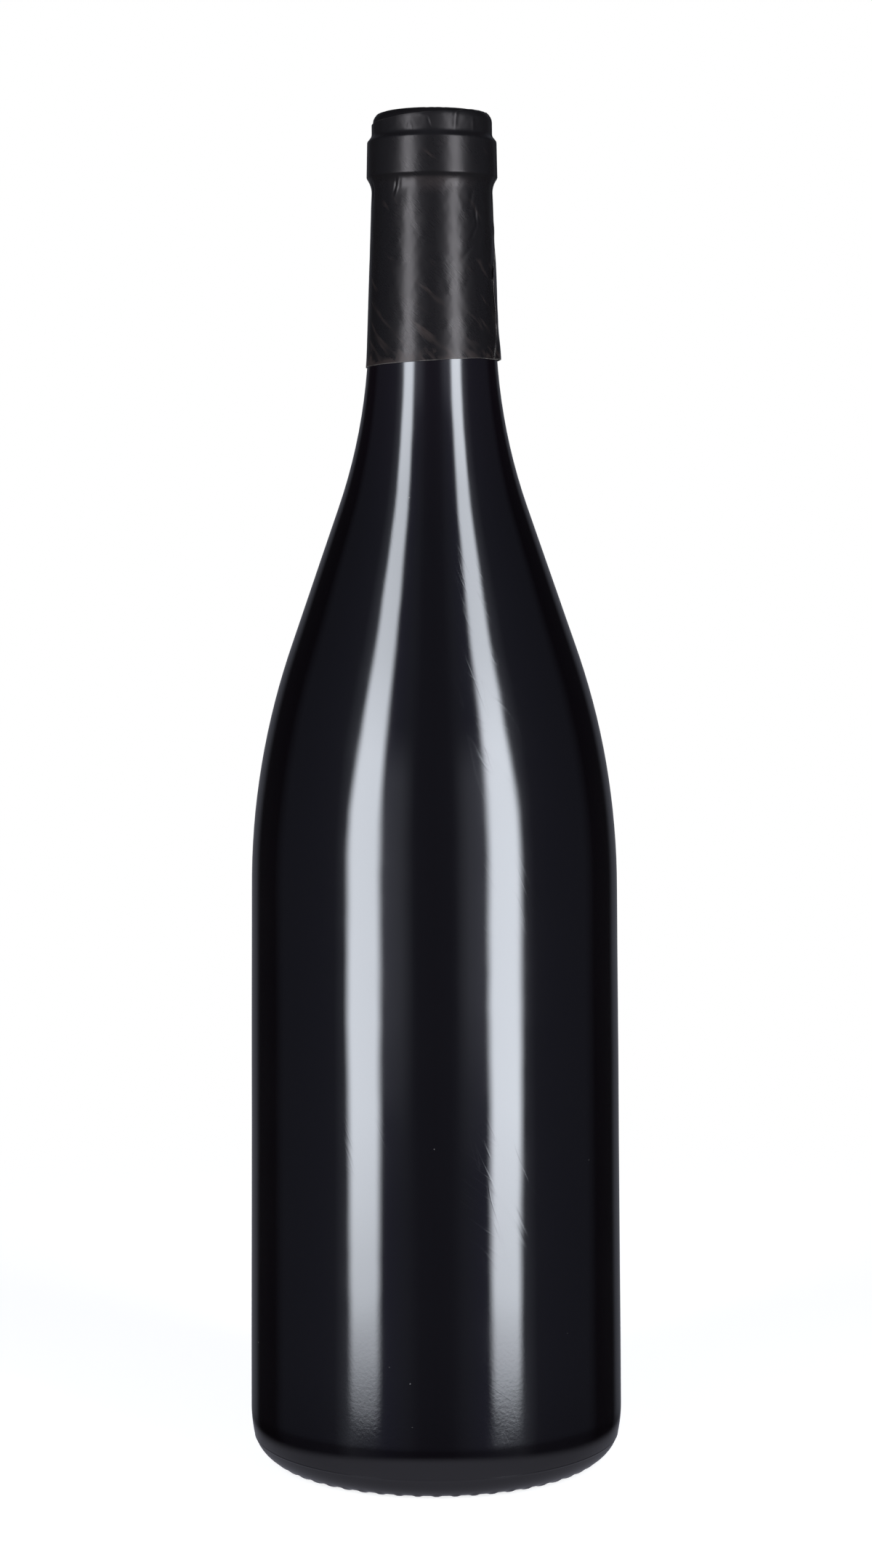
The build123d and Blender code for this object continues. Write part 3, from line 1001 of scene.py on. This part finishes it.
@dataclass
class CapsuleSleeve:
    """The film sleeve: a sheet wrapped once round neck, band and lip, its ends lapped.

    Its outer end lies on top at the lap seam, a wavy line whose lowest corner has lifted.
    """

    finish: Finish
    glass_outline: Outline
    film: float = 0.25
    gap: float = 0.05
    edge_height: float = 241.75
    edge_tilt: float = 2.9
    top_drop: float = 1.2
    top_tilt: float = 5.6
    lap: float = 17.0
    seam_azimuth: float = 75.0
    seam_marks: tuple[tuple[float, float], ...] = (
        (240.0, 63.5), (242.4, 65.0), (245.0, 70.5), (248.6, 77.0), (253.0, 75.0), (257.0, 71.5),
        (262.0, 70.0), (265.4, 86.0), (268.5, 85.0), (273.0, 81.0), (281.0, 79.0), (298.0, 77.0),
    )
    flap_height: float = 8.5
    flap_lift: float = 0.42
    fused: tuple[float, float] = (263.0, 269.0)
    outer_columns: int = 400
    inner_columns: int = 200
    edge_rows: tuple[float, float] = (0.12, 0.10)
    wrap_radius: float = 14.0
    unevenness: float = 0.035
    band_corner: float = 0.5
    band_lift: float = 0.55
    under_band: float = 5.5
    over_band: float = 1.5
    lacquer: ShrinkFilm = ShrinkFilm()

    def line(self, offset: float) -> Outline:
        """Outline of a face of the film: the neck's curve, the band, the lip and the roll-in.

        Args:
            offset: distance from the glass, to which the disc's thickness is added on the lip.

        Returns:
            The outline, from below the sleeve's lower edge to its end on the disc's top.
        """
        f = self.finish
        over_disc = self.gap + self.film + offset
        neck = self.glass_outline.points
        covered = (neck[:, 1] > self.edge_height - 6) & (neck[:, 1] <= f.neck_foot + 0.001)
        neck = neck[covered] + (offset, 0)
        corner, lip_corner = self.band_corner, f.lip_corner + over_disc
        fillets = (0, self.under_band, corner, corner, self.over_band, lip_corner)
        lifts = (0, 0, 0, self.band_lift, 0, 0)
        corners = [
            (radius, height + lift, fillet)
            for (radius, height, _), lift, fillet in zip(f.corners(offset, over_disc), lifts, fillets)
        ]
        roll_end = (f.lip_radius - f.lip_corner) / 2
        rest = rounded_line(corners + [(roll_end, f.top + over_disc, 0)])
        return Outline(neck) + Outline(np.vstack([neck[-1:], rest.points[1:]]))

    def cut(
        self, drawn: Outline, azimuth: np.ndarray, height: float, tilt: float, wave: np.ndarray
    ) -> np.ndarray:
        """Length along an outline where a plane that rises towards +X crosses it.

        The signed height over the plane is found at every point of the line for every
        azimuth, and the first change of sign is placed by straight interpolation.

        Args:
            drawn: the outline.
            azimuth: degrees round the bottle, one per column.
            height: of the plane on the axis.
            tilt: of the plane.
            wave: added to the plane's height at each azimuth.

        Returns:
            One length per column.
        """
        radius, level = drawn.points.T
        side = radius[:, None] * np.sin(np.radians(azimuth))[None]
        over = level[:, None] - (height + tan(radians(tilt)) * side + wave[None])
        first = np.argmax(over > 0, 0)
        column = np.arange(len(azimuth))
        above, below = over[first, column], over[first - 1, column]
        known = drawn.lengths
        share = -below / (above - below)
        return known[first - 1] + share * (known[first] - known[first - 1])

    def seam_at(self, height: np.ndarray) -> np.ndarray:
        """Azimuth of the lap's free edge at a height, eased through its marks."""
        marks = np.array(self.seam_marks)
        fine = np.linspace(marks[0, 0], marks[-1, 0], 600)
        rough = np.interp(fine, marks[:, 0], marks[:, 1])
        kernel = bell(np.linspace(-2, 2, 31), 1.0)
        eased = np.convolve(np.pad(rough, 15, "edge"), kernel / kernel.sum(), "valid")
        return np.interp(height, fine, eased)

    def relief(self, azimuth: np.ndarray, height: np.ndarray) -> np.ndarray:
        """Wrinkles and unevenness of the shrunk film, in millimetres outwards."""
        soft = self.unevenness * 0.3 * ripple(azimuth, height, 21, 16, (5, 17), (9, 34))
        soft = soft + self.unevenness * 0.18 * ripple(azimuth, height, 22, 16, (14, 38), (3.5, 12))
        soft = soft + self.unevenness * 0.07 * ripple(azimuth, height, 23, 20, (30, 70), (2.0, 5.0))
        on_lip = smooth_ramp(height, 290.5, 292.5)
        quiet = 1 - 0.6 * smooth_ramp(height, 281.5, 283.5) * (1 - on_lip) + 0.5 * on_lip
        # Stretched tight over the band, the film has no creases there
        off_band = 1 - smooth_ramp(height, 281.0, 282.6) * (1 - smooth_ramp(height, 290.9, 292.0))
        marks = sum(crease.relief(azimuth, height) for crease in CREASES) * off_band
        return np.maximum(soft * quiet + marks, -0.25)

    def lap_offset(self, past_seam: np.ndarray, height: np.ndarray) -> np.ndarray:
        """How far the film lies above its single layer, because of the lap and the flap.

        Args:
            past_seam: degrees from the free edge, rising away from it.
            height: millimetres up the bottle.

        Returns:
            Millimetres outwards: a film's thickness over the lap, settling beyond it and
            where the seam is fused, and the bulge of the lifted lower corner.
        """
        doubled = (self.film + 0.02) * (1 - smooth_ramp(past_seam, self.lap + 1, self.lap + 14))
        loose = 1 - smooth_ramp(height, *self.fused)
        low = 1 - smooth_ramp(height, self.edge_height + 0.5, self.edge_height + self.flap_height)
        crest = (0.15 + 0.85 * smooth_ramp(past_seam, 0, 10)) * (1 - smooth_ramp(past_seam, 13, 36))
        lifted = self.flap_lift * low * crest
        pucker = 0.14 * bell(height - 257, 6.0) * (1 - smooth_ramp(past_seam, 0, 7))
        return doubled * (0.3 + 0.7 * loose) + lifted + pucker

    def build(self) -> bpy.types.Object:
        """Build and dress the sleeve.

        The outer face is a grid over the way round and up the film. The way round starts at
        the free edge on top, goes once round and ends under the lap. Rows follow the outer
        outline between the two skew cuts. The inner face is a coarser grid of the same
        kind, and four strips join the faces along the film's edges.

        Returns:
            The closed piece.
        """
        outer, inner = self.line(self.gap + self.film), self.line(self.gap)
        draft = MeshDraft()
        faces = [
            self.face(draft, outer, self.outer_columns, self.outer_spacing(outer), True),
            self.face(draft, inner, self.inner_columns, self.inner_spacing(inner), False),
        ]
        (front, front_way, front_up), (back, back_way, back_up) = faces
        draft.add_grid(front, closed=False)
        draft.add_grid(back[:, ::-1], closed=False)
        # The four edges of the sheet: lower, upper, free end and inner end
        draft.add_strip(back[0], front[0], back_way, front_way)
        draft.add_strip(front[-1], back[-1], front_way, back_way)
        draft.add_strip(front[:, -1], back[:, -1], front_up, back_up)
        draft.add_strip(back[:, 0], front[:, 0], back_up, front_up)
        return draft.build("capsule_film_sleeve", self.lacquer.wrap, self.lacquer.material())

    def outer_spacing(self, drawn: Outline) -> np.ndarray:
        """Row spacing of the outer face: 0.42 mm, closer from the band up and on the rim."""
        height = drawn.points[:, 1]
        spacing = np.full(len(height), 0.42)
        spacing = np.where(height > 279, 0.26, spacing)
        return np.where(height > 293, 0.2, spacing)

    def inner_spacing(self, drawn: Outline) -> np.ndarray:
        """Row spacing of the hidden inner face."""
        height = drawn.points[:, 1]
        return np.where(height > 280, 0.7, 3.0)

    def cut_edges(self, drawn: Outline, azimuth: np.ndarray) -> tuple[np.ndarray, np.ndarray]:
        """Lengths along an outline of the lower edge, slightly frayed, and the wavy upper one."""
        wave = 0.14 * ripple(azimuth, 0 * azimuth, 31, 6, (2, 7), (50, 60))
        nick = 0.25 * bell(wrapped(azimuth - 23.5), 5.0)
        fringe = 0.05 * ripple(azimuth, 0 * azimuth, 32, 5, (3, 11), (50, 60))
        top = self.finish.top + self.gap + self.film - self.top_drop
        return (
            self.cut(drawn, azimuth, self.edge_height, self.edge_tilt, fringe),
            self.cut(drawn, azimuth, top, self.top_tilt, wave - nick),
        )

    def between(
        self, drawn: Outline, rows: np.ndarray, foot: np.ndarray, head: np.ndarray
    ) -> np.ndarray:
        """Stretch the rows near both ends, so that they end on the sheet's two edges.

        Up to 5 mm over the lower edge, and from the rim's foot on, a row keeps its share of
        the way from the edge. The rows between stay level.

        Args:
            drawn: the outline.
            rows: lengths along it of the level rows.
            foot: length of the lower edge at each column.
            head: length of the upper edge at each column.

        Returns:
            Lengths, rows by columns.
        """
        low = np.interp(self.edge_height + 5, drawn.points[:, 1], drawn.lengths)
        high = drawn.lengths[np.argmax(drawn.points[:, 1] > self.finish.top - 4.2)]
        level = rows[:, None] + 0 * foot[None]
        share = (level - rows[0]) / (low - rows[0])
        length = np.where(level < low, foot[None] + share * (low - foot[None]), level)
        share = (level - high) / (rows[-1] - high)
        return np.where(level > high, high + share * (head[None] - high), length)

    def face(
        self, draft: MeshDraft, drawn: Outline, columns: int, spacing: np.ndarray, outside: bool
    ) -> tuple[np.ndarray, np.ndarray, np.ndarray]:
        """Place one face of the film.

        With s the share of the way round, the azimuth is the seam's plus s times a full turn
        and the lap, so that s = 0 is the free edge and s = 1 the inner end.

        Args:
            draft: takes the vertices.
            drawn: the face's outline.
            columns: how many vertices go round.
            spacing: of the rows, at each of the outline's points.
            outside: true for the face that shows.

        Returns:
            Vertex numbers, rows by columns, and rising positions of columns and of rows.
        """
        way = np.linspace(0, 1, columns)
        sheet = 360 + self.lap
        nominal = self.seam_azimuth + sheet * way
        foot, head = self.cut_edges(drawn, nominal)
        rows = drawn.rows(spacing)
        rows = rows[(rows > foot.min()) & (rows < head.max() + 0.2)]
        if outside:
            # A narrow row along each cut edge carries the painted highlight of the edge
            low, high = rows[:1] + self.edge_rows[0], rows[-1:] - self.edge_rows[1]
            rows = np.concatenate([rows[:1], low, rows[1:-1], high, rows[-1:]])
        up = (rows - rows[0]) / (rows[-1] - rows[0])
        length = self.between(drawn, rows, foot, head)

        radius, height = drawn.at(length)
        out_r, out_z = drawn.outward(length)
        from_free = way[None] * sheet
        from_inner = sheet - from_free
        # The wavering seam only moves the film near it
        far = smooth_ramp(from_free, 20, 120) * smooth_ramp(from_inner, 20, 120)
        seam = self.seam_at(height)
        azimuth = seam + from_free + far * (self.seam_azimuth - seam)
        stand = self.lap_offset(from_free, height)
        relief = self.relief(azimuth, height)
        if outside:
            # Under the lap the film is smooth
            hidden = 1 - smooth_ramp(from_inner, self.lap - 6, self.lap)
            stand = stand + relief * (1 - hidden)
        else:
            stand = stand + np.minimum(relief, 0) * 0.2
        place = around(azimuth, radius + out_r * stand, height + out_z * stand)
        wrap = np.stack([np.radians(azimuth) * self.wrap_radius, height + 0 * azimuth], -1)
        # Painted highlight on the cut edges: full on the lower and upper ones, weaker on the free edge
        # and stronger where the flap is loose and lifted
        free_edge = (way == 0)[None] * (0.15 + 0.6 * (1 - smooth_ramp(height, *self.fused)))
        on_edge = np.maximum(((up == 0) | (up == 1))[:, None], free_edge)
        return draft.add_points(place, wrap, on_edge), way, up


@dataclass
class CapsuleDisc:
    """The pressed disc on the mouth: a shallow cap with a rounded, slightly crimped rim."""

    finish: Finish
    film: float = 0.25
    gap: float = 0.05
    wall: float = 3.3
    columns: int = 240
    lacquer: ShrinkFilm = ShrinkFilm("satin_black_pvc_disc", gloss=0.06, scuff_top=0.25, matt_top=1.0)

    def relief(self, azimuth: np.ndarray, radius: np.ndarray, height: np.ndarray) -> np.ndarray:
        """Pressed and shrunk shape of the outer face, in millimetres outwards.

        The flat is dished and slightly uneven, and crimps run across its rim. A pressed bead
        runs round the shoulder, beside a shallow groove.
        """
        crimp = ripple(azimuth, 0 * azimuth, 41, 8, (14, 44), (40, 60)) * bell(radius - 11.6, 1.6)
        uneven = ripple(azimuth, radius + 0 * azimuth, 42, 8, (1, 4), (9, 20))
        dish = -0.06 * (1 - smooth_ramp(radius, 0, 9.5)) + 0.03 * uneven
        stand = np.minimum(0.03 * crimp + dish * smooth_ramp(13 - radius, 0, 3), 0.0)
        bead, groove = 0.07 * bell(radius - 12.15, 0.22), 0.06 * bell(radius - 11.6, 0.3)
        return stand + (height > self.finish.top - 1.4) * (bead - groove)

    def build(self) -> bpy.types.Object:
        """Build and dress the disc: an outer and an inner face of revolution and an edge.

        Returns:
            The closed piece.
        """
        draft = MeshDraft()
        azimuth = np.arange(self.columns)[None] * 360.0 / self.columns - 180.0
        rings = []
        for offset, spacing, outside in ((self.gap + self.film, 0.16, True), (self.gap, 1.0, False)):
            f = self.finish
            drawn = rounded_line([
                (f.lip_radius + offset, f.top - self.wall, 0),
                (f.lip_radius + offset, f.top + offset, f.lip_corner + offset),
                (0.3, f.top + offset, 0),
            ])
            length = drawn.rows(np.full(len(drawn.points), spacing))
            radius, height = (part[:, None] for part in drawn.at(length))
            out_r, out_z = (part[:, None] for part in drawn.outward(length))
            full = np.broadcast_to(azimuth, (len(length), self.columns))
            stand = 0 * full
            if outside:
                stand = self.relief(full, radius, height)
            place = around(full, radius + out_r * stand, height + out_z * stand)
            wrap = np.stack([place[..., 0], place[..., 1]], -1)
            grid = draft.add_points(place, wrap)
            rings.append((grid, height[-1, 0] + float(stand[-1].mean())))
        (outer, outer_top), (inner, inner_top) = rings
        draft.add_grid(outer, closed=True)
        draft.add_pole(outer[-1], np.array([0, 0, outer_top]), upward=True)
        draft.add_grid(inner[:, ::-1], closed=True)
        draft.add_pole(inner[-1], np.array([0, 0, inner_top]), upward=False)
        draft.add_grid(np.stack([inner[0], outer[0]]), closed=True)
        return draft.build("capsule_film_disc", self.lacquer.wrap, self.lacquer.material())


# ---------------------------------------------------------------- the studio


class Side(Enum):
    """The two softboxes, as the sign of their azimuth. They don't stand quite alike."""

    LEFT = -1
    RIGHT = 1

    @property
    def azimuth(self) -> float:
        """Direction of the box from the bottle, in degrees from the front."""
        return 43.1 if self is Side.RIGHT else -43.4

    @property
    def power(self) -> float:
        """Strength of the box against the other."""
        return 1.06 if self is Side.RIGHT else 0.98

    @property
    def fade(self) -> list[tuple[float, float]]:
        """Height in millimetres and share of full strength, from the foot up.

        A table's edge cuts the glow off sharply at the bottom.
        """
        if self is Side.RIGHT:
            cut = [(-134, 0), (-132, 0.19), (-129, 0.30), (-124, 0.40), (-108, 0.60), (-85, 0.80)]
        else:
            cut = [(-136, 0), (-133, 0.15), (-127, 0.20), (-119, 0.34), (-108, 0.50), (-85, 0.75)]
        return cut + [(-50, 0.9), (-12, 1)]


@dataclass
class Studio:
    """A pale floor, two tall softboxes and a dim room for the glass to mirror.

    Lengths are in millimetres. Across and up, a softbox's own map is in metres.
    """

    box_distance: float = 620.0
    box_width: float = 330.0
    box_foot: float = -190.0
    box_head: float = 760.0
    radiance: float = 15.6
    box_tint: str = "f0f6ff"
    box_map: str = "panel"
    floor_half: float = 6000.0
    plinth: float = 65.0
    camera_distance: float = 709.8
    camera_height: float = 199.5
    lens: float = 73.3
    roll: float = 0.0037
    shift: tuple[float, float] = (0.0018, -0.1466)

    def fabric(self, side: Side) -> bpy.types.Material:
        """Build a softbox's fabric, which glows less at its rims, its head and its foot."""
        made = bpy.data.materials.new(f"softbox_fabric_{side.name.lower()}")
        g = Graph(made)
        panel = g.add("SeparateXYZ", {"Vector": g.add("UVMap", uv_map=self.box_map)})
        up = panel.outputs["Y"]

        # The panel's middle line swings inwards towards the head, and a little at the foot
        to_head = {"Value": up, "From Min": 0.22, "From Max": 0.38}
        near_head = g.add("MapRange", {**to_head, "To Max": -0.018 * side.value})
        to_foot = {"Value": up, "From Min": 0.05, "From Max": -0.10}
        near_foot = g.add("MapRange", {**to_foot, "To Max": -0.005 * side.value})
        aside = g.add("Math", {0: near_head, 1: near_foot}, operation="ADD")
        centred = g.add("Math", {0: panel.outputs["X"], 1: aside}, operation="SUBTRACT")
        off = g.add("Math", {0: centred}, operation="ABSOLUTE")

        # Both rims fade over some 70 mm, and come in towards the head and the foot
        slim_head = g.add("MapRange", {**to_head, "To Min": 1.0, "To Max": 1.19})
        to_cut = {"Value": up, "From Min": 0.03, "From Max": -0.12}
        slim_foot = g.add("MapRange", {**to_cut, "To Min": 1.0, "To Max": 1.15})
        slim = g.add("Math", {0: slim_head, 1: slim_foot}, operation="MULTIPLY")
        across = g.add("Math", {0: off, 1: slim}, operation="MULTIPLY")
        soft = {"Value": across, "From Min": 0.148, "From Max": 0.074}
        rim = g.add("MapRange", soft, interpolation_type="SMOOTHSTEP")

        low, high = -0.15, 0.0
        at_foot = g.add("MapRange", {"Value": up, "From Min": low, "From Max": high})
        foot = g.add("ValToRGB", {0: at_foot})
        stops(foot, [((height * MM - low) / (high - low), share) for height, share in side.fade])
        head = g.add("MapRange", {"Value": up, "From Min": 0.62, "From Max": 0.34, "To Min": 0.76})
        column = g.add("Math", {0: foot, 1: head}, operation="MULTIPLY")
        share = g.add("Math", {0: rim, 1: column}, operation="MULTIPLY")
        glow = g.add("Math", {0: share, 1: self.radiance * side.power}, operation="MULTIPLY")

        # The fabric adds its glow to the room behind it, on the side that faces the bottle
        light = g.add("Emission", {"Color": linear_colour(self.box_tint), "Strength": glow})
        clear = g.add("BsdfTransparent")
        lit = g.add("AddShader", {0: light, 1: clear})
        back = g.add("NewGeometry").outputs["Backfacing"]
        g.add("OutputMaterial", {"Surface": g.add("MixShader", {0: back, 1: lit, 2: clear})})
        return made

    def softbox(self, side: Side) -> bpy.types.Object:
        """Build one softbox: an upright panel whose face looks at the bottle."""
        turn = radians(side.azimuth)
        middle = np.array([sin(turn), -cos(turn), 0.0]) * self.box_distance
        along = np.array([cos(turn), sin(turn), 0.0])
        across = np.array([-1, 1, 1, -1]) * self.box_width / 2
        level = np.array([self.box_foot, self.box_foot, self.box_head, self.box_head])
        place = middle + along * across[:, None] + np.array([0, 0, 1.0]) * level[:, None]
        face = [3, 2, 1, 0]
        mesh = bpy.data.meshes.new(f"softbox_{side.name.lower()}")
        mesh.from_pydata((place * MM).tolist(), [], [face])
        corners = np.stack([across, level], -1)[face] * MM
        layer = mesh.uv_layers.new(name=self.box_map)
        layer.data.foreach_set("uv", corners.astype(np.float32).ravel())
        mesh.materials.append(self.fabric(side))
        panel = link(mesh.name, mesh)
        panel.visible_camera = False
        panel.visible_shadow = False
        return panel

    def room(self) -> None:
        """Build the world: white to camera and transmission rays, a dim room to all others.

        The room's level depends only on direction: a glow beside each softbox, dim walls at
        the sides, a dark corner behind them and a dim backdrop.
        """
        world = bpy.data.worlds.new("dim_studio_room")
        bpy.context.scene.world = world
        g = Graph(world)
        way = g.add("SeparateXYZ", {"Vector": g.add("TexCoord").outputs["Generated"]})
        up = way.outputs["Z"]
        ahead = g.add("Math", {0: way.outputs["Y"], 1: -1.0}, operation="MULTIPLY")
        azimuth = g.add("Math", {0: way.outputs["X"], 1: ahead}, operation="ARCTAN2")
        turned = g.add("Math", {0: azimuth}, operation="ABSOLUTE")
        half_turn = g.add("Math", {0: turned, 1: pi}, operation="DIVIDE")
        wall = g.add("ValToRGB", {0: half_turn})
        stops(wall, [
            (0.0, "565b68"), (0.055, "5b606e"), (0.10, "757b8b"), (0.165, "8085a0"), (0.30, "bcc3d4"),
            (0.36, "6c7182"), (0.42, "636879"), (0.60, "4c505c"), (0.66, "1c1c20"), (0.795, "1c1c1f"),
            (0.84, "585a62"), (1.0, "6a6b72"),
        ])
        down = {"Value": up, "From Min": -0.30, "From Max": -0.24, "To Min": 0.3}
        floorward = g.add("MapRange", down, interpolation_type="SMOOTHSTEP")
        dim = g.add("Background", {"Color": wall, "Strength": floorward})

        # Beside the boxes' inner rims there is a stronger glow, which stops overhead and below
        inner = g.add("ValToRGB", {0: half_turn})
        stops(inner, [(0.07, 0.0), (0.12, 0.45), (0.17, 0.62), (0.215, 0.0)])
        above = {"Value": up, "From Min": -0.182, "From Max": -0.128}
        low = g.add("MapRange", above, interpolation_type="SMOOTHSTEP")
        below = {"Value": up, "From Min": 0.40, "From Max": 0.22}
        high = g.add("MapRange", below, interpolation_type="SMOOTHSTEP")
        level = g.add("Math", {0: low, 1: high}, operation="MULTIPLY")
        extra = g.add("Math", {0: inner, 1: level}, operation="MULTIPLY")
        glow = g.add("Background", {"Color": linear_colour("eef2ff"), "Strength": extra})

        room = g.add("AddShader", {0: dim, 1: glow})
        white = g.add("Background", {"Color": (1, 1, 1, 1), "Strength": 1.0})
        path = g.add("LightPath")
        straight = {0: path.outputs["Is Camera Ray"], 1: path.outputs["Is Transmission Ray"]}
        seen = g.add("Math", straight, operation="MAXIMUM")
        g.add("OutputWorld", {"Surface": g.add("MixShader", {0: seen, 1: room, 2: white})})

    def paper(self) -> bpy.types.Material:
        """Build the floor's paper.

        Near the bottle it is lit by the boxes and shows the bottle's shadow, and further out
        it is the backdrop's white. The glass mirrors only a dim plinth under the bottle.
        """
        made = bpy.data.materials.new("matt_white_paper")
        g = Graph(made)
        where = g.add("TexCoord").outputs["Object"]
        clear = g.add("BsdfTransparent")

        # What the camera sees
        flat = g.add("VectorMath", {0: where}, operation="LENGTH")
        outward = {"Value": flat, "From Min": 0.12, "From Max": 0.42}
        far = g.add("MapRange", outward, interpolation_type="SMOOTHSTEP")
        matt = g.add("BsdfDiffuse", {"Color": linear_colour("a8a8a8")})
        near = g.add("AddShader", {0: matt, 1: g.add("Emission", {"Strength": 0.80})})
        sheet = g.add("MixShader", {0: far, 1: near, 2: g.add("Emission", {"Strength": 1.0})})

        # What the glass mirrors: lit from the front, in the bottle's shadow behind, less bright
        # at both sides, and dark at the contact
        spot = g.add("SeparateXYZ", {"Vector": where})
        forward = {"Value": spot.outputs["Y"], "From Min": 0.0, "From Max": -0.042}
        lit = g.add("MapRange", {**forward, "To Min": 0.5, "To Max": 1.3})
        under = {"Value": flat, "From Min": 0.032, "From Max": 0.043}
        contact = g.add("MapRange", {**under, "To Min": 0.38})
        sideways = g.add("Math", {0: spot.outputs["X"]}, operation="ABSOLUTE")
        aside = {"Value": sideways, "From Min": 0.018, "From Max": 0.040}
        beside = g.add("MapRange", {**aside, "To Min": 1.0, "To Max": 0.85})
        ahead = g.add("Math", {0: lit, 1: contact}, operation="MULTIPLY")
        level = g.add("Math", {0: ahead, 1: beside}, operation="MULTIPLY")
        dim = g.add("Emission", {"Color": linear_colour("a8a9b6"), "Strength": level})
        narrowed = g.add("VectorMath", {0: where, 1: (1.22, 1.0, 1.0)}, operation="MULTIPLY")
        reach = g.add("VectorMath", {0: narrowed}, operation="LENGTH")
        inner, outer = (self.plinth - 7) * MM, (self.plinth + 4) * MM
        edge = {"Value": reach, "From Min": inner, "From Max": outer}
        off_plinth = g.add("MapRange", edge, interpolation_type="SMOOTHSTEP")
        mirrored = g.add("MixShader", {0: off_plinth, 1: dim, 2: clear})

        glossy = g.add("LightPath").outputs["Is Glossy Ray"]
        either = g.add("MixShader", {0: glossy, 1: sheet, 2: mirrored})
        below = g.add("NewGeometry").outputs["Backfacing"]
        g.add("OutputMaterial", {"Surface": g.add("MixShader", {0: below, 1: either, 2: clear})})
        return made

    def floor(self) -> bpy.types.Object:
        """Build the floor that the bottle stands on."""
        mesh = bpy.data.meshes.new("floor")
        half = self.floor_half * MM
        corners = [(-half, -half, 0), (half, -half, 0), (half, half, 0), (-half, half, 0)]
        mesh.from_pydata(corners, [], [(0, 1, 2, 3)])
        mesh.materials.append(self.paper())
        floor = link("floor", mesh)
        floor.visible_shadow = False
        return floor

    def camera(self) -> bpy.types.Object:
        """Build the camera: level, a little above the middle of the bottle."""
        data = bpy.data.cameras.new("camera")
        data.lens = self.lens
        data.sensor_width = 36.0
        data.shift_x, data.shift_y = self.shift
        data.clip_start, data.clip_end = 0.01, 50.0
        data.dof.use_dof = False
        camera = link("camera", data)
        camera.location = (0, -self.camera_distance * MM, self.camera_height * MM)
        camera.rotation_euler = (pi / 2, self.roll, 0)
        bpy.context.scene.camera = camera
        return camera

    def build(self) -> None:
        """Build everything round the bottle."""
        self.camera()
        self.floor()
        self.room()
        for side in Side:
            self.softbox(side)


def place_piece(piece: bpy.types.Object, node: str) -> None:
    """Let a piece ride on the bottle in place of a CAD node, and report it.

    Args:
        piece: the finished mesh.
        node: the CAD node it stands for.
    """
    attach(piece, "root")
    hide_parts(node)
    log.info("%s stands for %s: %d triangles", piece.name, node, len(piece.data.polygons))


def main() -> None:
    """Build the studio and the bottle."""
    logging.basicConfig(level=logging.INFO, format="%(name)s: %(message)s")
    bpy.context.scene.view_settings.view_transform = "Standard"
    Studio().build()
    _, top_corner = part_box("glass_bottle")
    finish = Finish(top=round(top_corner.z / MM, 2))
    glass = GlassBottle(body_radius=round(top_corner.x / MM, 2), finish=finish)
    place_piece(glass.build(), "glass_bottle")
    place_piece(CapsuleDisc(finish).build(), "capsule_top_disc")
    place_piece(CapsuleSleeve(finish, glass.upper()).build(), "capsule_sleeve")


if __name__ == "__main__":
    main()
